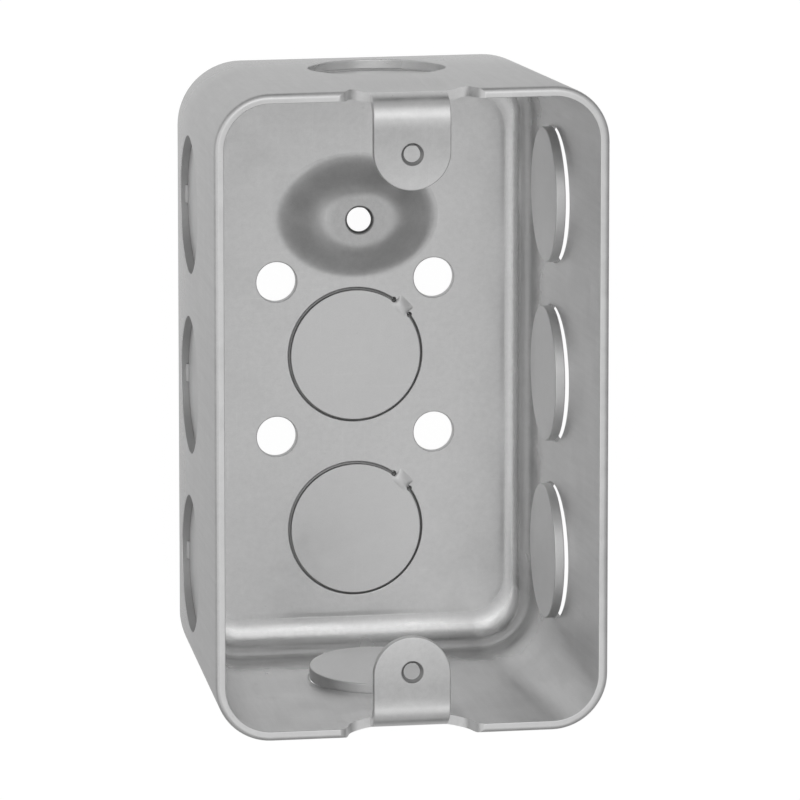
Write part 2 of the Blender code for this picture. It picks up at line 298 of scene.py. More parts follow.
def wall_loops(skin):
    """Loops up a wall, close together where the pull of the ears bends it."""
    shell = settings()[0]
    start = shell.depth - PULL_HEIGHT - PULL_RUNOUT
    heights = [start + PULL_RUNOUT * step / WALL_STEPS for step in range(WALL_STEPS + 1)]
    return [outline(wall_inset(z) + skin, corner_radius(z) - skin, z) for z in heights]


def rim_edge(radius, skin, outward):
    """Loops round one edge of the rim: the outer edge (outward 1) or the inner one (-1)."""
    depth = settings()[0].depth
    loops = []
    for step in range(RIM_STEPS + 1):
        angle = pi / 2 * step / RIM_STEPS
        z = depth - radius * (1 - sin(angle))
        round_off = outward * radius * (1 - cos(angle))
        loops.append(outline(wall_inset(z) + skin + round_off, corner_radius(z) - skin - round_off, z))
    return loops


def loft(bm, loops, caps=True):
    """Skin a list of closed point loops, and close its two ends if asked."""
    rings = [[bm.verts.new(point) for point in loop] for loop in loops]
    count = len(rings[0])
    for lower, upper in zip(rings, rings[1:]):
        for i in range(count):
            j = (i + 1) % count
            bm.faces.new((lower[i], lower[j], upper[j], upper[i]))
    if caps:
        bm.faces.new(rings[0])
        bm.faces.new(rings[-1])
    return rings


def add_object(name, bm):
    """Put a closed bmesh in the scene as an object."""
    bmesh.ops.recalc_face_normals(bm, faces=bm.faces)
    mesh = bpy.data.meshes.new(name)
    bm.to_mesh(mesh)
    bm.free()
    item = bpy.data.objects.new(name, mesh)
    bpy.context.collection.objects.link(item)
    return item


def combine(target, tool, operation):
    """Apply an exact Boolean to the target's mesh and remove the tool."""
    step = target.modifiers.new(tool.name, "BOOLEAN")
    step.operation = operation
    step.solver = "EXACT"
    step.object = tool
    depsgraph = bpy.context.evaluated_depsgraph_get()
    result = bpy.data.meshes.new_from_object(target.evaluated_get(depsgraph))
    target.modifiers.clear()
    target.data = result
    bpy.data.objects.remove(tool)


def finish_piece(item, material, sharp=SMOOTH_ANGLE):
    """Give a piece its material, shading, body and slot."""
    item.data.materials.clear()
    item.data.materials.append(material)
    item.data.shade_smooth()
    item.data.set_sharp_from_angle(angle=radians(sharp))
    even = item.modifiers.new("even_normals", "WEIGHTED_NORMAL")
    even.keep_sharp = True
    even.weight = 100
    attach(item, BODY)


RIM_FACING = 0.8
RIM_BAND = 0.1 * MM
SHEAR_REACH = 0.9 * MM
SHEAR_BAND = (-0.92, -0.08)


def mark_rim(item):
    """Give the rim's sheared top face the brighter cut-steel material."""
    shell = settings()[0]
    item.data.materials.append(rim_steel())
    for face in item.data.polygons:
        if face.normal.z > RIM_FACING and face.center.z > shell.depth - RIM_BAND:
            face.material_index = 1


def mark_shear_shade(item, places):
    """Give the sheared walls at the given knockouts the darker cut-steel material, dark partly as the
    cut steel's own matt tone and partly as painted shade in the gaps.
    """
    shell, holes, _, _ = settings()
    low, high = [part * shell.wall for part in SHEAR_BAND]
    item.data.materials.append(shear_shade_steel())
    slot = len(item.data.materials) - 1
    inward = [place.inverted() for place in places]
    for face in item.data.polygons:
        for turned in inward:
            spot = turned @ face.center
            radial = (spot.x ** 2 + spot.y ** 2) ** 0.5 - holes.knockout / 2
            if abs(radial) < SHEAR_REACH and low < spot.z < high:
                face.material_index = slot


def placement(origin, lateral, up, outward):
    """Matrix whose local X, Y and Z are lateral, up along the sheet, and outward."""
    columns = [Vector(axis).normalized() for axis in (lateral, up, outward)]
    place = Matrix([[column[row] for column in columns] for row in range(3)]).to_4x4()
    place.translation = Vector(origin)
    return place


def side_place(side, y):
    """Placement on the outer face of a long wall (side is +1 or -1) at a knockout's centre."""
    shell, holes, _, _ = settings()
    z = holes.side_height
    lean = tilt()
    x = shell.width / 2 - wall_inset(z)
    return placement((side * x, y, z), (0, side, 0), (side * sin(lean), 0, cos(lean)),
                     (side * cos(lean), 0, -sin(lean)))


def end_place(side):
    """Placement on the outer face of an end wall (side is +1 or -1) at its knockout's centre."""
    shell, holes, _, _ = settings()
    z = holes.side_height
    lean = tilt()
    y = shell.long_side / 2 - wall_inset(z)
    return placement((0, side * y, z), (-side, 0, 0), (0, side * sin(lean), cos(lean)),
                     (0, side * cos(lean), -sin(lean)))


def back_place(y):
    """Placement on the outer back face at a knockout's centre."""
    return placement((0, y, 0), (-1, 0, 0), (0, 1, 0), (0, 0, -1))


def knockout_row(first, last):
    """Evenly spaced centres from first down to last, as many as the knockout space leaves room for."""
    gaps = int((first - last) / settings()[1].space)
    if gaps < 1:
        return [(first + last) / 2]
    return [first + (last - first) * index / gaps for index in range(gaps + 1)]


BACK_TIE_ANGLE = radians(-45)


def knockout_list():
    """Name, placement, slug travel at its lower and upper edge, and tie angle of each knockout."""
    shell, holes, _, _ = settings()
    side_push = (holes.side_push_low, holes.side_push_high)
    end_push = (holes.end_push_low, holes.end_push_high)
    side_end = shell.long_side / 2 - holes.side_setback
    found = []
    for index, y in enumerate(knockout_row(side_end, -side_end)):
        found.append((f"right_{index + 1}", side_place(1, y), side_push, pi))
        found.append((f"left_{index + 1}", side_place(-1, y), side_push, pi))
    found.append(("top_end", end_place(1), end_push, 0.0))
    found.append(("bottom_end", end_place(-1), end_push, 0.0))
    for name, place in back_knockouts():
        found.append((name, place, (holes.back_rise,) * 2, BACK_TIE_ANGLE))
    return found


def back_knockouts():
    """Name and placement of each knockout in the back."""
    shell, holes, _, _ = settings()
    row = knockout_row(boss_y() - holes.boss_gap, holes.back_setback - shell.long_side / 2)
    return [(f"back_{index + 1}", back_place(y)) for index, y in enumerate(row)]


NICK_PROFILE = ((1.5, -2), (1.2, 0), (1, 0.4), (0.85, 1.4), (0.06, 2.8))


def nick_cutters(place):
    """Cutter for the two nicks where the shear of a back knockout stops at its tie."""
    shell, holes, _, _ = settings()
    bm = bmesh.new()
    radius = holes.knockout / 2 - holes.shear_gap / 2
    profile = [(wide * holes.nick, deep * holes.nick) for wide, deep in NICK_PROFILE]
    for side in (-1, 1):
        angle = BACK_TIE_ANGLE + side * (holes.tie / 2 + holes.nick * 0.4) / radius
        spot = place @ Matrix.Translation((radius * sin(angle), radius * cos(angle), -shell.wall))
        revolve(bm, profile, spot, NICK_STEPS)
    return add_object("nicks", bm)


def revolve(bm, profile, place, steps=ROUND_STEPS):
    """Turn a profile of (radius, height) points about the placement's local Z, closed at both ends."""
    turns = [2 * pi * step / steps for step in range(steps)]
    loops = []
    for radius, height in profile:
        circle = [(radius * cos(turn), radius * sin(turn), height) for turn in turns]
        loops.append([place @ Vector(point) for point in circle])
    loft(bm, loops)


PUNCH_ARC = radians(82)
PUNCH_FLARE = 1.05


def punched_profile(radius, sheet, edge):
    """Cutter profile that leaves a hole with rounded edges in a sheet from height -sheet to 0."""
    arcs = [PUNCH_ARC * step / EDGE_STEPS for step in range(EDGE_STEPS + 1)]
    lower = [(radius + edge * (1 - cos(arc)), edge * sin(arc)) for arc in arcs]
    flare = radius + edge * PUNCH_FLARE
    profile = [(flare, -3 * sheet)]
    profile += [(r, -sheet + edge - rise) for r, rise in reversed(lower)]
    profile += [(r, -edge + rise) for r, rise in lower]
    profile.append((flare, 2 * sheet))
    return profile


EAR_HOLE_EDGE = 0.7


def hole_cutters():
    """One object with a cutter for every round hole of the box."""
    shell, holes, ears, _ = settings()
    bm = bmesh.new()
    for _, place, _, _ in knockout_list():
        revolve(bm, punched_profile(holes.knockout / 2, shell.wall, holes.edge), place)
    for x in (-1, 1):
        for y in (-1, 1):
            middle = boss_y() - holes.boss_gap - holes.mounting_drop
            place = back_place(middle + y * holes.mounting_y / 2)
            place = place @ Matrix.Translation((x * holes.mounting_x / 2, 0, 0))
            profile = punched_profile(holes.mounting / 2, shell.wall, holes.edge)
            revolve(bm, profile, place, HOLE_STEPS)
    ground = Matrix.Translation((0, boss_y(), shell.wall + holes.boss_height))
    profile = punched_profile(holes.ground_major / 2, shell.wall, holes.edge)
    revolve(bm, profile, ground, HOLE_STEPS)
    profile = punched_profile(ears.major / 2, shell.wall, holes.edge * EAR_HOLE_EDGE)
    for side in (1, -1):
        spot = Matrix.Translation((0, side * ear_y(), shell.depth - ears.drop))
        revolve(bm, profile, spot, EAR_HOLE_STEPS)
    return add_object("hole_cutters", bm)


BOSS_BASE = (12.8 * MM, 9.8 * MM)
BOSS_TOP = (4.7 * MM, 3.4 * MM)
BOSS_SKIRT = 1.12
BOSS_EASE = 0.92
HOLLOW_SHRINK = 0.6


def boss_form(name, base_z, shrink, below):
    """Oval dome with a flat top: its skirt flares at the base and rounds over at the top."""
    height = settings()[1].boss_height
    turns = [2 * pi * step / ROUND_STEPS for step in range(ROUND_STEPS)]
    profile = [(BOSS_SKIRT, -below)]
    for step in range(BOSS_STEPS + 1):
        part = step / BOSS_STEPS
        profile.append((BOSS_SKIRT * (1 - part), 0.5 - 0.5 * cos(pi * part ** BOSS_EASE)))
    loops = []
    for spread, rise in profile:
        half_x = BOSS_TOP[0] + (BOSS_BASE[0] - BOSS_TOP[0]) * spread - shrink
        half_y = BOSS_TOP[1] + (BOSS_BASE[1] - BOSS_TOP[1]) * spread - shrink
        z = base_z + height * rise + (OVERLAP if rise >= 0 else 0)
        loops.append([(half_x * cos(turn), boss_y() + half_y * sin(turn), z) for turn in turns])
    bm = bmesh.new()
    loft(bm, loops)
    return add_object(name, bm)


RELIEF_UPPER = 0.4
RELIEF_LOWER = 0.35
RELIEF_LIP = 1.3 * MM
RELIEF_FOOT = 1.4 * MM
RELIEF_CLEAR = 2 * MM
RELIEF_REACH = 5 * MM


def curve(start, middle, end):
    """Points of a quadratic curve from start to end, pulled towards middle."""
    corners = (start, middle, end)
    points = []
    for step in range(CURVE_STEPS + 1):
        t = step / CURVE_STEPS
        weights = ((1 - t) ** 2, 2 * t * (1 - t), t * t)
        x, z = [sum(w * corner[axis] for w, corner in zip(weights, corners)) for axis in (0, 1)]
        points.append((x, z))
    return points


def relief_cutter(side):
    """Cutter that trims the end wall down at an ear, with rounded corners."""
    shell, _, ears, _ = settings()
    foot_x, foot_z = ears.width / 2 + ears.notch, shell.depth - ears.notch_depth
    rim_x, rim_z = foot_x + ears.notch_flare, shell.depth + OVERLAP
    flare, fall = ears.notch_flare, ears.notch_depth
    below_rim = (rim_x - flare * RELIEF_UPPER, rim_z - fall * RELIEF_UPPER)
    above_foot = (foot_x + flare * RELIEF_LOWER, foot_z + fall * RELIEF_LOWER)
    profile = [(rim_x + RELIEF_LIP, rim_z + RELIEF_CLEAR)]
    profile += curve((rim_x + RELIEF_LIP, rim_z), (rim_x, rim_z), below_rim)
    profile += curve(above_foot, (foot_x, foot_z), (foot_x - RELIEF_FOOT, foot_z))
    profile += [(-x, z) for x, z in reversed(profile)]
    bm = bmesh.new()
    near, far = [side * (shell.long_side / 2 + offset) for offset in (-RELIEF_REACH, RELIEF_REACH)]
    loft(bm, [[(x, y, z) for x, z in profile] for y in (near, far)])
    return add_object("relief_cutter", bm)


EAR_SINK = 0.03 * MM
EAR_ROOT = 1.5 * MM


def fold_centre():
    """Centre of an ear's fold, as distance from the middle of the box and height."""
    shell, _, ears, _ = settings()
    z = shell.depth - ears.drop - ears.bend
    y = shell.long_side / 2 - ears.pull - wall_inset(z) - ears.bend * cos(tilt()) - EAR_SINK
    return y, z


def ear_point(side, x, along, down):
    """Point of an ear from its flat pattern: across, along from the tip, and down into the sheet."""
    shell, _, ears, _ = settings()
    lean = tilt()
    top = shell.depth - ears.drop
    centre_y, centre_z = fold_centre()
    tip_y = ear_y() - ears.tip
    flat = centre_y - tip_y
    arc = ears.bend * (pi / 2 + lean)
    radius = ears.bend - down
    if along <= flat:
        return (x, side * (tip_y + along), top - down)
    angle = pi / 2 - (min(along, flat + arc) - flat) / ears.bend
    past = max(0, along - flat - arc)
    y = centre_y + radius * cos(angle) - past * sin(lean)
    z = centre_z + radius * sin(angle) - past * cos(lean)
    return (x, side * y, z)


def ear(side):
    """Device ear as one folded strip with a round tip and softened edges."""
    shell, holes, ears, _ = settings()
    half = ears.width / 2
    edge = holes.edge
    flat = fold_centre()[0] - (ear_y() - ears.tip)
    arc = ears.bend * (pi / 2 + tilt())
    rows = [half + (flat - half) * step / EAR_FLAT_STEPS for step in range(EAR_FLAT_STEPS)]
    rows += [flat + arc * step / EAR_FOLD_STEPS for step in range(EAR_FOLD_STEPS + 1)]
    rows.append(flat + arc + EAR_ROOT)
    turns = [pi * step / EAR_TIP_STEPS for step in range(1, EAR_TIP_STEPS)]
    levels = []
    for step in range(EDGE_STEPS + 1):
        angle = pi / 2 * step / EDGE_STEPS
        levels.append((edge * (1 - sin(angle)), edge * (1 - cos(angle))))
    levels += [(inset, shell.wall - down) for inset, down in reversed(levels)]
    loops = []
    for inset, down in levels:
        reach = half - inset
        left = [(-reach, along) for along in reversed(rows)]
        tip = [(-reach * cos(turn), half - reach * sin(turn)) for turn in turns]
        right = [(reach, along) for along in rows]
        loops.append([ear_point(side, x, along, down) for x, along in left + tip + right])
    bm = bmesh.new()
    rings = loft(bm, loops, caps=False)
    for ring in (rings[0], rings[-1]):
        count = len(ring)
        for i in range(count // 2 - 1):
            bm.faces.new((ring[i], ring[i + 1], ring[count - 2 - i], ring[count - 1 - i]))
        middle = count // 2
        bm.faces.new((ring[middle - 1], ring[middle], ring[middle + 1]))
    return add_object("ear_top" if side > 0 else "ear_bottom", bm)


THREAD_RUNOUT = 0.35
THREAD_FADE = 6
THREAD_ROOT = 0.05 * MM
THREAD_HALF = 0.46
THREAD_CREST = 0.06


def thread(name, place, major, minor, pitch, sheet):
    """Helical ridge of a tapped hole, running out at both faces of the sheet."""
    turns = sheet / pitch - 2 * THREAD_RUNOUT
    count = int(turns * THREAD_STEPS)
    root = major / 2 + THREAD_ROOT
    crest = minor / 2
    half = THREAD_HALF * pitch
    tip = THREAD_CREST * pitch
    loops = []
    for step in range(count + 1):
        angle = 2 * pi * step / THREAD_STEPS
        fade = min(1, THREAD_FADE * step / count, THREAD_FADE * (count - step) / count)
        height = -sheet + pitch * (THREAD_RUNOUT + step / THREAD_STEPS)
        reach = root - (root - crest) * (0.1 + 0.9 * fade)
        section = ((root, -half), (reach, -tip), (reach, tip), (root, half))
        points = [(r * cos(angle), r * sin(angle), height + rise) for r, rise in section]
        loops.append([place @ Vector(point) for point in points])
    bm = bmesh.new()
    loft(bm, loops)
    return add_object(name, bm)


BACK_GAP = 3.0
BACK_EDGE = 0.5
BACK_TOUCH = 0.02 * MM
BACK_STEP = (0.45, 0.38, 0.2)
END_SKIRT = 0.5 * MM
TIE_REACH = 1.3 * MM
TIE_WAIST = 0.18
TIE_SKIN = 0.22 * MM
BACK_TIE_SKIN = 0.03 * MM
BACK_TIE_BULGE = 0.30 * MM


def slug(name, place, push, tie_angle):
    """Sheared disc with rounded edges, leaning on the tie that still holds it.

    A back slug is narrower on its inner side and steps out to the hole's wall on its outer side.
    """
    shell, holes, _, _ = settings()
    closed = name.startswith("back")
    radius = holes.knockout / 2 - holes.shear_gap * (BACK_GAP if closed else 1)
    edge = holes.edge * (BACK_EDGE if closed else 1)
    travel = (push[0] + push[1]) / 2
    lean = atan((push[1] - push[0]) / holes.knockout)
    seat = place @ Matrix.Translation((0, 0, -travel)) @ Matrix.Rotation(-lean, 4, "X")
    skirt = END_SKIRT if name.endswith("end") else 0.0
    arcs = [pi / 2 * step / EDGE_STEPS for step in range(EDGE_STEPS + 1)]
    profile = [(radius - edge * (1 - sin(arc)), -shell.wall + edge * (1 - cos(arc))) for arc in arcs]
    if closed:
        touching = holes.knockout / 2 + BACK_TOUCH
        reaches = (radius, touching, touching)
        profile += [(reach, -shell.wall * part) for reach, part in zip(reaches, BACK_STEP)]
    profile += [(radius - edge * (1 - cos(arc)), skirt - edge * (1 - sin(arc))) for arc in arcs]
    bm = bmesh.new()
    revolve(bm, profile, seat)
    item = add_object("slug_" + name, bm)
    tie_travel = travel + (push[1] - push[0]) / 2 * cos(tie_angle)
    form = (BACK_TIE_SKIN, BACK_TIE_BULGE) if closed else (TIE_SKIN, 0.0)
    combine(item, tie(place, tie_angle, tie_travel, *form), "UNION")
    if closed:
        combine(item, nick_cutters(place), "DIFFERENCE")
    return item


def tie(place, angle, travel, skin, bulge):
    """Sheared strip from the sheet's level down to the slug's level, bulging on the inner side."""
    shell, holes, _, _ = settings()
    middle = holes.knockout / 2 - holes.shear_gap / 2
    turned = place @ Matrix.Rotation(-angle, 4, "Z")
    thick = shell.wall - TIE_SKIN - skin
    loops = []
    turns = [pi * step / CROWN_STEPS for step in range(CROWN_STEPS + 1)]
    for step in range(TIE_STEPS + 1):
        part = step / TIE_STEPS
        ease = 0.5 - 0.5 * cos(pi * part)
        reach = middle + TIE_REACH * (1 - 2 * part)
        drop = -TIE_SKIN - travel * ease
        half = holes.tie / 2 * (1 - TIE_WAIST * sin(pi * part))
        crown = [(half * cos(turn), bulge * sin(pi * part) * sin(turn)) for turn in turns]
        section = [(-half, drop), (half, drop)] + [(x, drop - thick - rise) for x, rise in crown]
        loops.append([turned @ Vector((x, reach, z)) for x, z in section])
    bm = bmesh.new()
    loft(bm, loops)
    return add_object("tie", bm)


def group_tree(name, inputs, outputs):
    """New shader node group with named float inputs (with defaults) and outputs."""
    group = bpy.data.node_groups.new(name, "ShaderNodeTree")
    for label, default in inputs:
        socket = group.interface.new_socket(label, in_out="INPUT", socket_type="NodeSocketFloat")
        socket.default_value = default
    for label in outputs:
        group.interface.new_socket(label, in_out="OUTPUT", socket_type="NodeSocketFloat")
    return group, group.nodes.new("NodeGroupInput"), group.nodes.new("NodeGroupOutput")


def add_math(tree, operation, first, second=None, third=None):
    """Math node whose inputs are sockets or numbers."""
    node = tree.nodes.new("ShaderNodeMath")
    node.operation = operation
    for index, value in enumerate((first, second, third)):
        if value is None:
            continue
        if isinstance(value, (int, float)):
            node.inputs[index].default_value = value
        else:
            tree.links.new(value, node.inputs[index])
    return node.outputs[0]


def add_noise(tree, coordinate, scale, detail, rough, stretch=(1, 1, 1)):
    """Noise on object coordinates in millimetres, stretched along the axes; returns a 0 to 1 value."""
    mapping = tree.nodes.new("ShaderNodeMapping")
    mapping.inputs["Scale"].default_value = [1000 * s for s in stretch]
    tree.links.new(coordinate, mapping.inputs["Vector"])
    noise = tree.nodes.new("ShaderNodeTexNoise")
    noise.inputs["Scale"].default_value = scale
    noise.inputs["Detail"].default_value = detail
    noise.inputs["Roughness"].default_value = rough
    tree.links.new(mapping.outputs[0], noise.inputs["Vector"])
    return noise.outputs[0]


def add_range(tree, value, low, high, to_low=0.0, to_high=1.0):
    """Map Range node from low..high to to_low..to_high, clamped."""
    node = tree.nodes.new("ShaderNodeMapRange")
    ends = {"From Min": low, "From Max": high, "To Min": to_low, "To Max": to_high}
    for label, number in ends.items():
        node.inputs[label].default_value = number
    tree.links.new(value, node.inputs["Value"])
    return node.outputs[0]


def add_band(tree, value, base, steps):
    """Mask that grows between two steps from a base value."""
    return add_range(tree, value, base + steps[0], base + steps[1])


def add_weighted(tree, start, terms):
    """Sum of a start value and of each (value, weight) in turn."""
    total = start
    for value, weight in terms:
        total = add_math(tree, "MULTIPLY_ADD", value, weight, total)
    return total


def add_distance(tree, place, centre):
    """Distance of a place from a fixed centre."""
    reach = tree.nodes.new("ShaderNodeVectorMath")
    reach.operation = "DISTANCE"
    reach.inputs[1].default_value = centre
    tree.links.new(place, reach.inputs[0])
    return reach.outputs["Value"]


def add_facing(tree, place, towards):
    """Dot product of a place or direction with a fixed direction."""
    facing = tree.nodes.new("ShaderNodeVectorMath")
    facing.operation = "DOT_PRODUCT"
    facing.inputs[1].default_value = towards
    tree.links.new(place, facing.inputs[0])
    return facing.outputs["Value"]


# Noise forms: scale in waves per millimetre, detail, roughness and stretch.
CLOUD = (0.07, 4, 0.6)
BLOTCH = (0.25, 2, 0.5)
STREAK = (1.0, 3, 0.6, (1.1, 1.1, 0.05))
GRAIN = (5.0, 2, 0.6)
SPECK = (1.1, 4, 0.7)
LONG_SCRATCH = (1.0, 1, 0.4, (0.06, 2.4, 2.4))
CROSS_SCRATCH = (1.0, 1, 0.4, (2.1, 0.07, 2.1))

# Parts of the noise values that show.
NOISE_SPAN = (0.3, 0.7, -1, 1)
LONG_SPAN = (0.70, 0.78)
CROSS_SPAN = (0.71, 0.79)
PIT_SPAN = (0.66, 0.76)

# Heights and distances in millimetres between which a mask grows.
BURNISH_FROM = (1.6, 2.1)
BURNISH_TO = (22.0, 9.0)
BOSS_REACH = (19.0, 15.0)
SCUFF_REACH = (7.0, 4.2)
EAR_FLAT_FROM = (-11.0, -3.5)
EAR_FLAT_TO = (0.2, -1.6)
EAR_SIDE = 0.3
EAR_BAND = (-1.5, -0.8)
FOLD_FROM = (-1.0, 0.4)
FOLD_BAND = (-5.0, -3.5)
WALL_BAND = (8.0, 16.0)
FLOOR_BAND = (4.0, 2.5)

# Facings, and distances in metres, between which a mask grows.
INWARD = (-0.008, -0.016)
FLOOR_AWAY = (0.018, 0.042)
FLOOR_CENTRE = (-0.008, 0.008, 0.0)
FLOOR_FACING = (0.6, 0.9)
SLOPE_FACING = (0.985, 0.92)

# What the masks add to the tone or take off it, and how smooth the folds are.
# Painted shade on the ears' flats towards the fold, and a painted highlight on their folds.
EAR_PAINTED_SHADE = 0.20
FOLD_BURNISH = 0.35
FOLD_PAINTED_HIGHLIGHT = 0.09
# Painted shade on the boss's slopes, painted light on the inner walls and on the floor's outer parts.
SLOPE_PAINTED_SHADE = 0.12
WALL_PAINTED_LIGHT = 0.11
FLOOR_PAINTED_LIGHT = 0.10
SCUFF_TONE = 0.20
SCUFF_GRAIN = 0.25
PIT_TONE = 0.10


def ear_masks(group, axes, height_mm):
    """Masks of the ears' flats, for painted shade that darkens them towards the fold, and of their
    folds, for a painted highlight and for the smoother finish the tool leaves.
    """
    shell, _, ears, _ = settings()
    fold = (shell.long_side / 2 - ears.pull - ears.bend) / MM
    half = ears.width / 2 / MM
    rim = shell.depth / MM
    out = add_math(group, "MULTIPLY", add_math(group, "ABSOLUTE", axes.outputs["Y"]), 1000.0)
    across = add_math(group, "MULTIPLY", add_math(group, "ABSOLUTE", axes.outputs["X"]), 1000.0)
    inside = add_range(group, across, half + EAR_SIDE, half)
    flat = add_math(group, "MULTIPLY", add_band(group, out, fold, EAR_FLAT_FROM),
                    add_band(group, out, fold, EAR_FLAT_TO))
    level = add_math(group, "MULTIPLY", inside, add_band(group, height_mm, rim, EAR_BAND))
    bent = add_math(group, "MULTIPLY", inside, add_band(group, out, fold, FOLD_FROM))
    high = add_band(group, height_mm, rim, FOLD_BAND)
    return add_math(group, "MULTIPLY", flat, level), add_math(group, "MULTIPLY", bent, high)


def painted_light_masks(group, place, axes, height_mm):
    """Masks for painted light on the inner walls and on the floor's outer parts, and for painted shade
    on the boss's slopes.
    """
    facing = group.nodes.new("ShaderNodeSeparateXYZ")
    group.links.new(group.nodes.new("ShaderNodeTexCoord").outputs["Normal"], facing.inputs[0])
    outward = add_math(group, "MULTIPLY", facing.outputs["X"], axes.outputs["X"])
    outward = add_math(group, "MULTIPLY_ADD", facing.outputs["Y"], axes.outputs["Y"], outward)
    walls = add_math(group, "MULTIPLY", add_range(group, outward, *INWARD),
                     add_range(group, height_mm, *WALL_BAND))
    away = add_range(group, add_distance(group, place, FLOOR_CENTRE), *FLOOR_AWAY)
    level = add_math(group, "MULTIPLY", add_range(group, facing.outputs["Z"], *FLOOR_FACING),
                     add_range(group, height_mm, *FLOOR_BAND))
    slopes = add_math(group, "MULTIPLY", boss_mask(group, place, BOSS_REACH),
                      add_range(group, facing.outputs["Z"], *SLOPE_FACING))
    return walls, add_math(group, "MULTIPLY", away, level), slopes


def boss_mask(group, place, reach_mm):
    """Mask that fades round the top of the ground boss."""
    shell, holes, _, _ = settings()
    away = add_distance(group, place, (0, boss_y(), shell.wall + holes.boss_height))
    return add_range(group, add_math(group, "MULTIPLY", away, 1000.0), *reach_mm)


def burnish_mask(group, place, height_mm, ear_folds):
    """Mask of the surfaces that drawing and folding rub smooth: the floor bend and the ears' folds."""
    above_floor = add_range(group, height_mm, *BURNISH_FROM)
    below_wall = add_range(group, height_mm, *BURNISH_TO)
    drawn = add_math(group, "MULTIPLY", above_floor, below_wall)
    boss_away = add_math(group, "SUBTRACT", 1.0, boss_mask(group, place, BOSS_REACH))
    drawn = add_math(group, "MULTIPLY", drawn, boss_away)
    return add_math(group, "MAXIMUM", drawn, add_math(group, "MULTIPLY", ear_folds, FOLD_BURNISH))


def zinc_and_painted_light():
    """Group: cloudy zinc tone, drawing streaks, fine grain and small scratches, with painted shade and
    painted highlight on the ears, the boss's slopes, the inner walls and the floor's outer parts.
    """
    inputs = (("Cloud", 1.0), ("Streak", 1.0), ("Scratch", 1.0), ("Burnish", 0.14))
    group, given, result = group_tree("zinc_and_painted_light", inputs, ("Tone", "Rough", "Height"))
    place = group.nodes.new("ShaderNodeTexCoord").outputs["Object"]
    axes = group.nodes.new("ShaderNodeSeparateXYZ")
    group.links.new(place, axes.inputs[0])
    height_mm = add_math(group, "MULTIPLY", axes.outputs["Z"], 1000.0)
    inner_wall_light, floor_edge_light, boss_slope_shade = painted_light_masks(group, place, axes, height_mm)
    ear_flat_shade, ear_folds = ear_masks(group, axes, height_mm)
    cloud, blotch, streak, grain = [add_range(group, add_noise(group, place, *form), *NOISE_SPAN)
                                    for form in (CLOUD, BLOTCH, STREAK, GRAIN)]
    scratch = add_math(group, "ADD",
                       add_range(group, add_noise(group, place, *LONG_SCRATCH), *LONG_SPAN),
                       add_range(group, add_noise(group, place, *CROSS_SCRATCH), *CROSS_SPAN))
    cloud = add_math(group, "MULTIPLY", cloud, given.outputs["Cloud"])
    blotch = add_math(group, "MULTIPLY", blotch, given.outputs["Cloud"])
    streak = add_math(group, "MULTIPLY", streak, given.outputs["Streak"])
    scratch = add_math(group, "MULTIPLY", scratch, given.outputs["Scratch"])
    pit = add_range(group, add_noise(group, place, *SPECK), *PIT_SPAN)
    scuff = add_math(group, "MULTIPLY", boss_mask(group, place, SCUFF_REACH),
                     add_math(group, "MULTIPLY_ADD", grain, SCUFF_GRAIN, 1.0))
    # Tone: zinc cloud, streaks, grain, scratches, pits and scuffs, plus painted shade on the ear flats
    # and boss slopes and painted light on the ear folds, inner walls and floor edges.
    tone = add_weighted(group, 1.0, (
        (cloud, 0.035), (blotch, 0.03), (streak, 0.03), (grain, 0.02), (scratch, 0.025),
        (ear_flat_shade, -EAR_PAINTED_SHADE), (ear_folds, FOLD_PAINTED_HIGHLIGHT), (boss_slope_shade, -SLOPE_PAINTED_SHADE),
        (inner_wall_light, WALL_PAINTED_LIGHT), (floor_edge_light, FLOOR_PAINTED_LIGHT), (pit, -PIT_TONE), (scuff, -SCUFF_TONE)))
    rough = add_weighted(group, 0.0, ((cloud, 0.05), (blotch, 0.05), (scratch, -0.02)))
    drawn = burnish_mask(group, place, height_mm, ear_folds)
    smoother = add_math(group, "MULTIPLY", drawn, given.outputs["Burnish"])
    rough = add_math(group, "SUBTRACT", rough, smoother)
    height = add_weighted(group, 0.0, (
        (blotch, 0.25), (streak, 0.07), (grain, 0.025), (scratch, -0.05)))
    for label, value in (("Tone", tone), ("Rough", rough), ("Height", height)):
        group.links.new(value, result.inputs[label])
    return group


def steel_material(name, base, roughness, metallic, bump, strengths):
    """Principled steel whose tone, gloss and bump come from the zinc group, its painted light and shade
    included.

    The strengths are those of the group's inputs: Cloud, Streak, Scratch and Burnish.
    """
    material = bpy.data.materials.new(name)
    material.use_nodes = True
    tree = material.node_tree
    shader = tree.nodes["Principled BSDF"]
    shader.inputs["Metallic"].default_value = metallic
    surface = tree.nodes.new("ShaderNodeGroup")
    surface.node_tree = bpy.data.node_groups.get("zinc_and_painted_light") or zinc_and_painted_light()
    for label, strength in zip(("Cloud", "Streak", "Scratch", "Burnish"), strengths):
        surface.inputs[label].default_value = strength
    tint = tree.nodes.new("ShaderNodeVectorMath")
    tint.operation = "SCALE"
    tint.inputs[0].default_value = base
    tree.links.new(surface.outputs["Tone"], tint.inputs["Scale"])
    tree.links.new(tint.outputs[0], shader.inputs["Base Color"])
    rough = add_math(tree, "ADD", surface.outputs["Rough"], roughness)
    tree.links.new(rough, shader.inputs["Roughness"])
    relief = tree.nodes.new("ShaderNodeBump")
    relief.inputs["Distance"].default_value = bump
    relief.inputs["Strength"].default_value = 1.0
    tree.links.new(surface.outputs["Height"], relief.inputs["Height"])
    tree.links.new(relief.outputs[0], shader.inputs["Normal"])
    return material


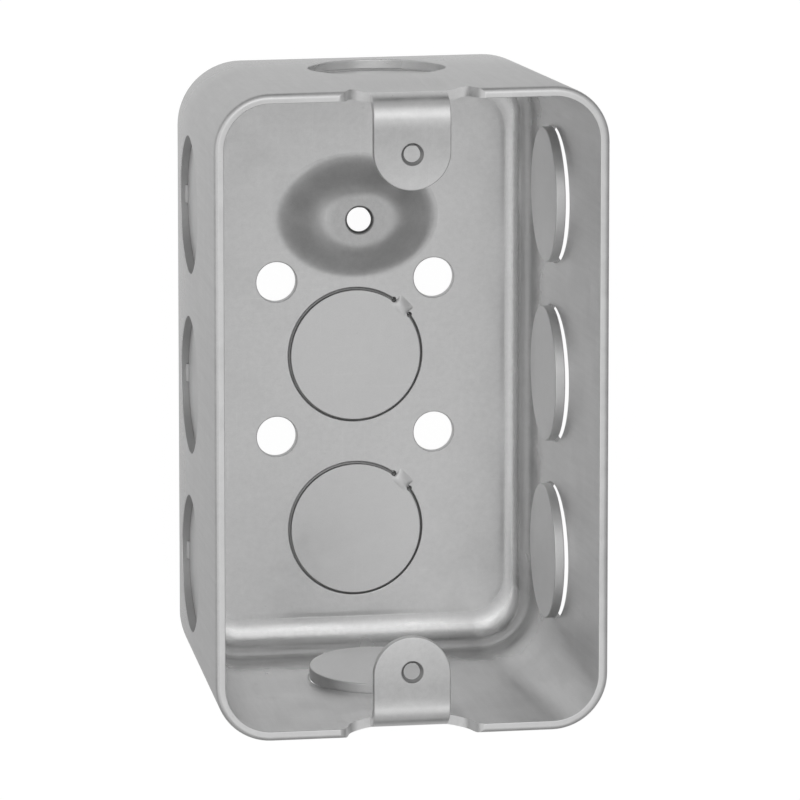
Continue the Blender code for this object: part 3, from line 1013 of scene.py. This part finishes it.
def zinc_steel():
    """Satin zinc coating of the drawn sheet, with the group's painted light and shade."""
    finish = settings()[3]
    return steel_material("zinc_coating", finish.zinc, finish.roughness, finish.metallic,
                          bump=0.04 * MM, strengths=(1.0, 1.0, 1.0, finish.burnish))


def slug_steel():
    """Zinc coating of the slugs, with fewer drawing streaks."""
    finish = settings()[3]
    return steel_material("slug_coating", finish.slug, finish.roughness, finish.metallic,
                          bump=0.03 * MM, strengths=(0.8, 0.2, 0.8, 0.0))


def rim_steel():
    """Sheared face of the rim, brighter than the coating."""
    finish = settings()[3]
    return steel_material("sheared_rim", finish.sheared, roughness=0.38, metallic=finish.metallic,
                          bump=0.05 * MM, strengths=(1.4, 0.4, 0.6, 0.0))


def shear_shade_steel():
    """Sheared walls of the knockouts, one material for all pieces: matt cut steel, darkened further as
    painted shade for the gaps round the slugs.
    """
    base = settings()[3].shear_wall_shade
    found = bpy.data.materials.get("sheared_wall_shade")
    return found or steel_material("sheared_wall_shade", base, roughness=0.5, metallic=0.8,
                                   bump=0.02 * MM, strengths=(0.5, 0.0, 0.0, 0.0))


def thread_steel_and_shade():
    """Cut steel inside the tapped holes, its dark tone partly the cut steel's own and partly painted
    shade down the threads.
    """
    base = settings()[3].thread
    return steel_material("thread_steel_and_shade", base, roughness=0.35, metallic=0.95,
                          bump=0.02 * MM, strengths=(0.5, 0.0, 0.5, 0.0))


class HANDYBOX_OT_shell(bpy.types.Operator):
    """Build the drawn shell with its boss, ears, reliefs and punched holes"""
    bl_idname = "handybox.shell"
    bl_label = "Build Shell"

    def execute(self, context):
        shell, holes, _, _ = settings()
        outer = bend_loops(shell.bend, (shell.bend,) * 2, 0, 0, shell.back_corner - shell.bend)
        outer += wall_loops(0) + rim_edge(shell.rim_outer, 0, 1)
        runs = (shell.side_run, shell.end_run)
        floor_form = (shell.inner_rise, runs, shell.wall, shell.wall, shell.floor_corner)
        inner = draw_line_loops(*floor_form) + bend_loops(*floor_form) + wall_loops(shell.wall)
        inner += rim_edge(shell.rim_inner, shell.wall, -1)
        bm = bmesh.new()
        loft(bm, outer + inner[::-1])
        box = add_object("drawn_shell", bm)
        boss = boss_form("boss", shell.wall, 0, shell.wall / 2 / holes.boss_height)
        combine(box, boss, "UNION")
        shrink, below = shell.wall * HOLLOW_SHRINK, shell.wall / holes.boss_height
        combine(box, boss_form("boss_hollow", 0, shrink, below), "DIFFERENCE")
        for side in (1, -1):
            combine(box, relief_cutter(side), "DIFFERENCE")
            combine(box, ear(side), "UNION")
        combine(box, hole_cutters(), "DIFFERENCE")
        for _, place in back_knockouts():
            combine(box, nick_cutters(place), "DIFFERENCE")
        finish_piece(box, zinc_steel())
        mark_rim(box)
        inside_cut = [place for name, place, _, _ in knockout_list() if not name.endswith("end")]
        mark_shear_shade(box, inside_cut)
        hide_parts(NODE)
        return {"FINISHED"}


class HANDYBOX_OT_slugs(bpy.types.Operator):
    """Build the knockout slugs, each on its tie"""
    bl_idname = "handybox.slugs"
    bl_label = "Build Slugs"

    def execute(self, context):
        material = slug_steel()
        for name, place, push, tie_angle in knockout_list():
            item = slug(name, place, push, tie_angle)
            finish_piece(item, material)
            if name.startswith("back"):
                mark_shear_shade(item, [place])
        return {"FINISHED"}


class HANDYBOX_OT_threads(bpy.types.Operator):
    """Cut the threads of the ear holes and of the ground hole"""
    bl_idname = "handybox.threads"
    bl_label = "Build Threads"

    def execute(self, context):
        shell, holes, ears, _ = settings()
        material = thread_steel_and_shade()
        for side, name in ((1, "ear_thread_top"), (-1, "ear_thread_bottom")):
            place = Matrix.Translation((0, side * ear_y(), shell.depth - ears.drop))
            item = thread(name, place, ears.major, ears.minor, ears.pitch, shell.wall)
            finish_piece(item, material, THREAD_SMOOTH_ANGLE)
        place = Matrix.Translation((0, boss_y(), shell.wall + holes.boss_height))
        item = thread("ground_thread", place, holes.ground_major, holes.ground_minor,
                      ears.pitch, shell.wall)
        finish_piece(item, material, THREAD_SMOOTH_ANGLE)
        return {"FINISHED"}


CAMERA_FROM = Vector((-0.17604, 0.18404, 0.96703))
CAMERA_TARGET = Vector((7.734 * MM, -7.730 * MM, 0))
CAMERA_DISTANCE = 1.43575
CAMERA_FOCAL_SHARE = 8.7358 / 0.8
SENSOR = 36.0
CAMERA_FAR = 20


def add_camera():
    """Camera at the photograph's viewing angle, with the box's long side upright."""
    back = CAMERA_FROM.normalized()
    right = Vector((0, 1, 0)).cross(back).normalized()
    data = bpy.data.cameras.new("camera")
    data.sensor_width = SENSOR
    data.lens = SENSOR * CAMERA_FOCAL_SHARE
    data.clip_end = CAMERA_FAR
    camera = bpy.data.objects.new("camera", data)
    seat = CAMERA_TARGET + CAMERA_DISTANCE * back
    camera.matrix_world = placement(seat, right, back.cross(right), back)
    bpy.context.collection.objects.link(camera)
    bpy.context.scene.camera = camera


def add_softbox(name, location, target, size, power):
    """Square area light aimed at a point."""
    data = bpy.data.lights.new(name, "AREA")
    data.shape = "SQUARE"
    data.size = size
    data.energy = power
    lamp = bpy.data.objects.new(name, data)
    lamp.location = location
    aim = Vector(target) - Vector(location)
    lamp.rotation_euler = aim.to_track_quat("-Z", "Y").to_euler()
    bpy.context.collection.objects.link(lamp)


KEY_FROM = (-0.5, 0.8, 1.2)
KEY_TARGET = (0, 0, 0.02)
KEY_SIZE = 0.9
KEY_POWER = 0.5
FLOOR_SIZE = 6.0
FLOOR_GAP = 0.02 * MM
GLOW_EDGE = (140.0, 330.0)
GLOW_CENTRE = (-0.07, -0.05, 0.0)
TABLE_SLOPE = (1.2, 2.0, 0.0)
TABLE_GLOW = 0.51


def floor_material(base):
    """Matt pale light table, open to view from below.

    It glows evenly in view, and in reflections it fades away from the box.
    """
    material = bpy.data.materials.new("studio_floor")
    material.use_nodes = True
    tree = material.node_tree
    shader = tree.nodes["Principled BSDF"]
    shader.inputs["Base Color"].default_value = (*base, 1)
    shader.inputs["Roughness"].default_value = 0.9
    shader.inputs["Specular IOR Level"].default_value = 0.1
    place = tree.nodes.new("ShaderNodeTexCoord").outputs["Object"]
    distance = add_math(tree, "MULTIPLY", add_distance(tree, place, GLOW_CENTRE), 1000.0)
    near = add_range(tree, distance, *GLOW_EDGE, 1.0, 0.0)
    seen = tree.nodes.new("ShaderNodeLightPath").outputs["Is Camera Ray"]
    along = add_facing(tree, place, TABLE_SLOPE)
    brighter = add_math(tree, "MULTIPLY_ADD", along, TABLE_GLOW, TABLE_GLOW)
    glow = add_math(tree, "MULTIPLY", near, brighter)
    tree.links.new(add_math(tree, "MAXIMUM", glow, seen), shader.inputs["Emission Color"])
    shader.inputs["Emission Strength"].default_value = 0.95
    below = tree.nodes.new("ShaderNodeNewGeometry").outputs["Backfacing"]
    tree.links.new(add_math(tree, "SUBTRACT", 1.0, below), shader.inputs["Alpha"])
    return material


# Soft panels of light: direction, cosines at the soft edge and at the full core, and strength.
AIR_GLOW = 0.40
SOFT_PANELS = (
    ((0.0, 0.0, 1.0), 0.82, 0.90, 0.25),
    ((0.07, 0.48, 0.87), 0.885, 0.955, 0.41),
    ((-0.70, 0.0, 0.71), 0.78, 0.94, 0.30),
    ((0.12, -0.60, 0.79), 0.93, 0.98, 0.38),
    ((0.60, 0.40, 0.70), 0.78, 0.94, 0.12),
    ((-0.98, 0.1, 0.17), 0.80, 0.96, 0.20),
)


def studio_air():
    """World that is white in view, and in reflections a dim room with soft panels of light."""
    world = bpy.data.worlds.new("studio_air")
    world.use_nodes = True
    tree = world.node_tree
    sky = tree.nodes["Background"]
    sky.inputs["Color"].default_value = (1, 1, 1, 1)
    place = tree.nodes.new("ShaderNodeTexCoord").outputs["Generated"]
    glow = AIR_GLOW
    for towards, edge, core, strength in SOFT_PANELS:
        panel = add_range(tree, add_facing(tree, place, towards), edge, core, 0.0, strength)
        glow = add_math(tree, "ADD", panel, glow)
    seen = tree.nodes.new("ShaderNodeLightPath").outputs["Is Camera Ray"]
    tree.links.new(add_math(tree, "MAXIMUM", glow, seen), sky.inputs["Strength"])
    return world


class HANDYBOX_OT_stage(bpy.types.Operator):
    """Set up the pale floor, the soft studio light and the camera"""
    bl_idname = "handybox.stage"
    bl_label = "Build Stage"

    def execute(self, context):
        bm = bmesh.new()
        bmesh.ops.create_grid(bm, x_segments=1, y_segments=1, size=FLOOR_SIZE / 2)
        bmesh.ops.translate(bm, verts=bm.verts, vec=(0, 0, -FLOOR_GAP))
        floor = add_object("studio_floor", bm)
        floor.data.materials.append(floor_material(settings()[3].floor))
        context.scene.world = studio_air()
        context.scene.view_settings.view_transform = "Standard"
        add_softbox("key_light", KEY_FROM, KEY_TARGET, KEY_SIZE, KEY_POWER)
        add_camera()
        return {"FINISHED"}


class HANDYBOX_PT_panel(bpy.types.Panel):
    """Sidebar panel with the build steps and the sizes"""
    bl_idname = "HANDYBOX_PT_panel"
    bl_label = "Handy Box"
    bl_space_type = "VIEW_3D"
    bl_region_type = "UI"
    bl_category = "Handy Box"

    def draw(self, context):
        layout = self.layout
        for step in STEPS:
            layout.operator(step.bl_idname)
        for group in settings():
            column = layout.column()
            for name in group.__annotations__:
                column.prop(group, name)


STEPS = (HANDYBOX_OT_shell, HANDYBOX_OT_slugs, HANDYBOX_OT_threads, HANDYBOX_OT_stage)
GROUPS = {
    "handy_shell": ShellSizes,
    "handy_holes": HoleSizes,
    "handy_ears": EarSizes,
    "handy_finish": Finish,
}
CLASSES = (*GROUPS.values(), *STEPS, HANDYBOX_PT_panel)


def register():
    """Register the classes and attach the property groups to the scene."""
    for item in CLASSES:
        bpy.utils.register_class(item)
    for name, group in GROUPS.items():
        setattr(bpy.types.Scene, name, PointerProperty(type=group))


def unregister():
    """Remove the property groups and the classes."""
    for name in GROUPS:
        delattr(bpy.types.Scene, name)
    for item in reversed(CLASSES):
        bpy.utils.unregister_class(item)


def main():
    """Build the box and the stage."""
    register()
    bpy.ops.handybox.shell()
    bpy.ops.handybox.slugs()
    bpy.ops.handybox.threads()
    bpy.ops.handybox.stage()


if __name__ == "__main__":
    main()
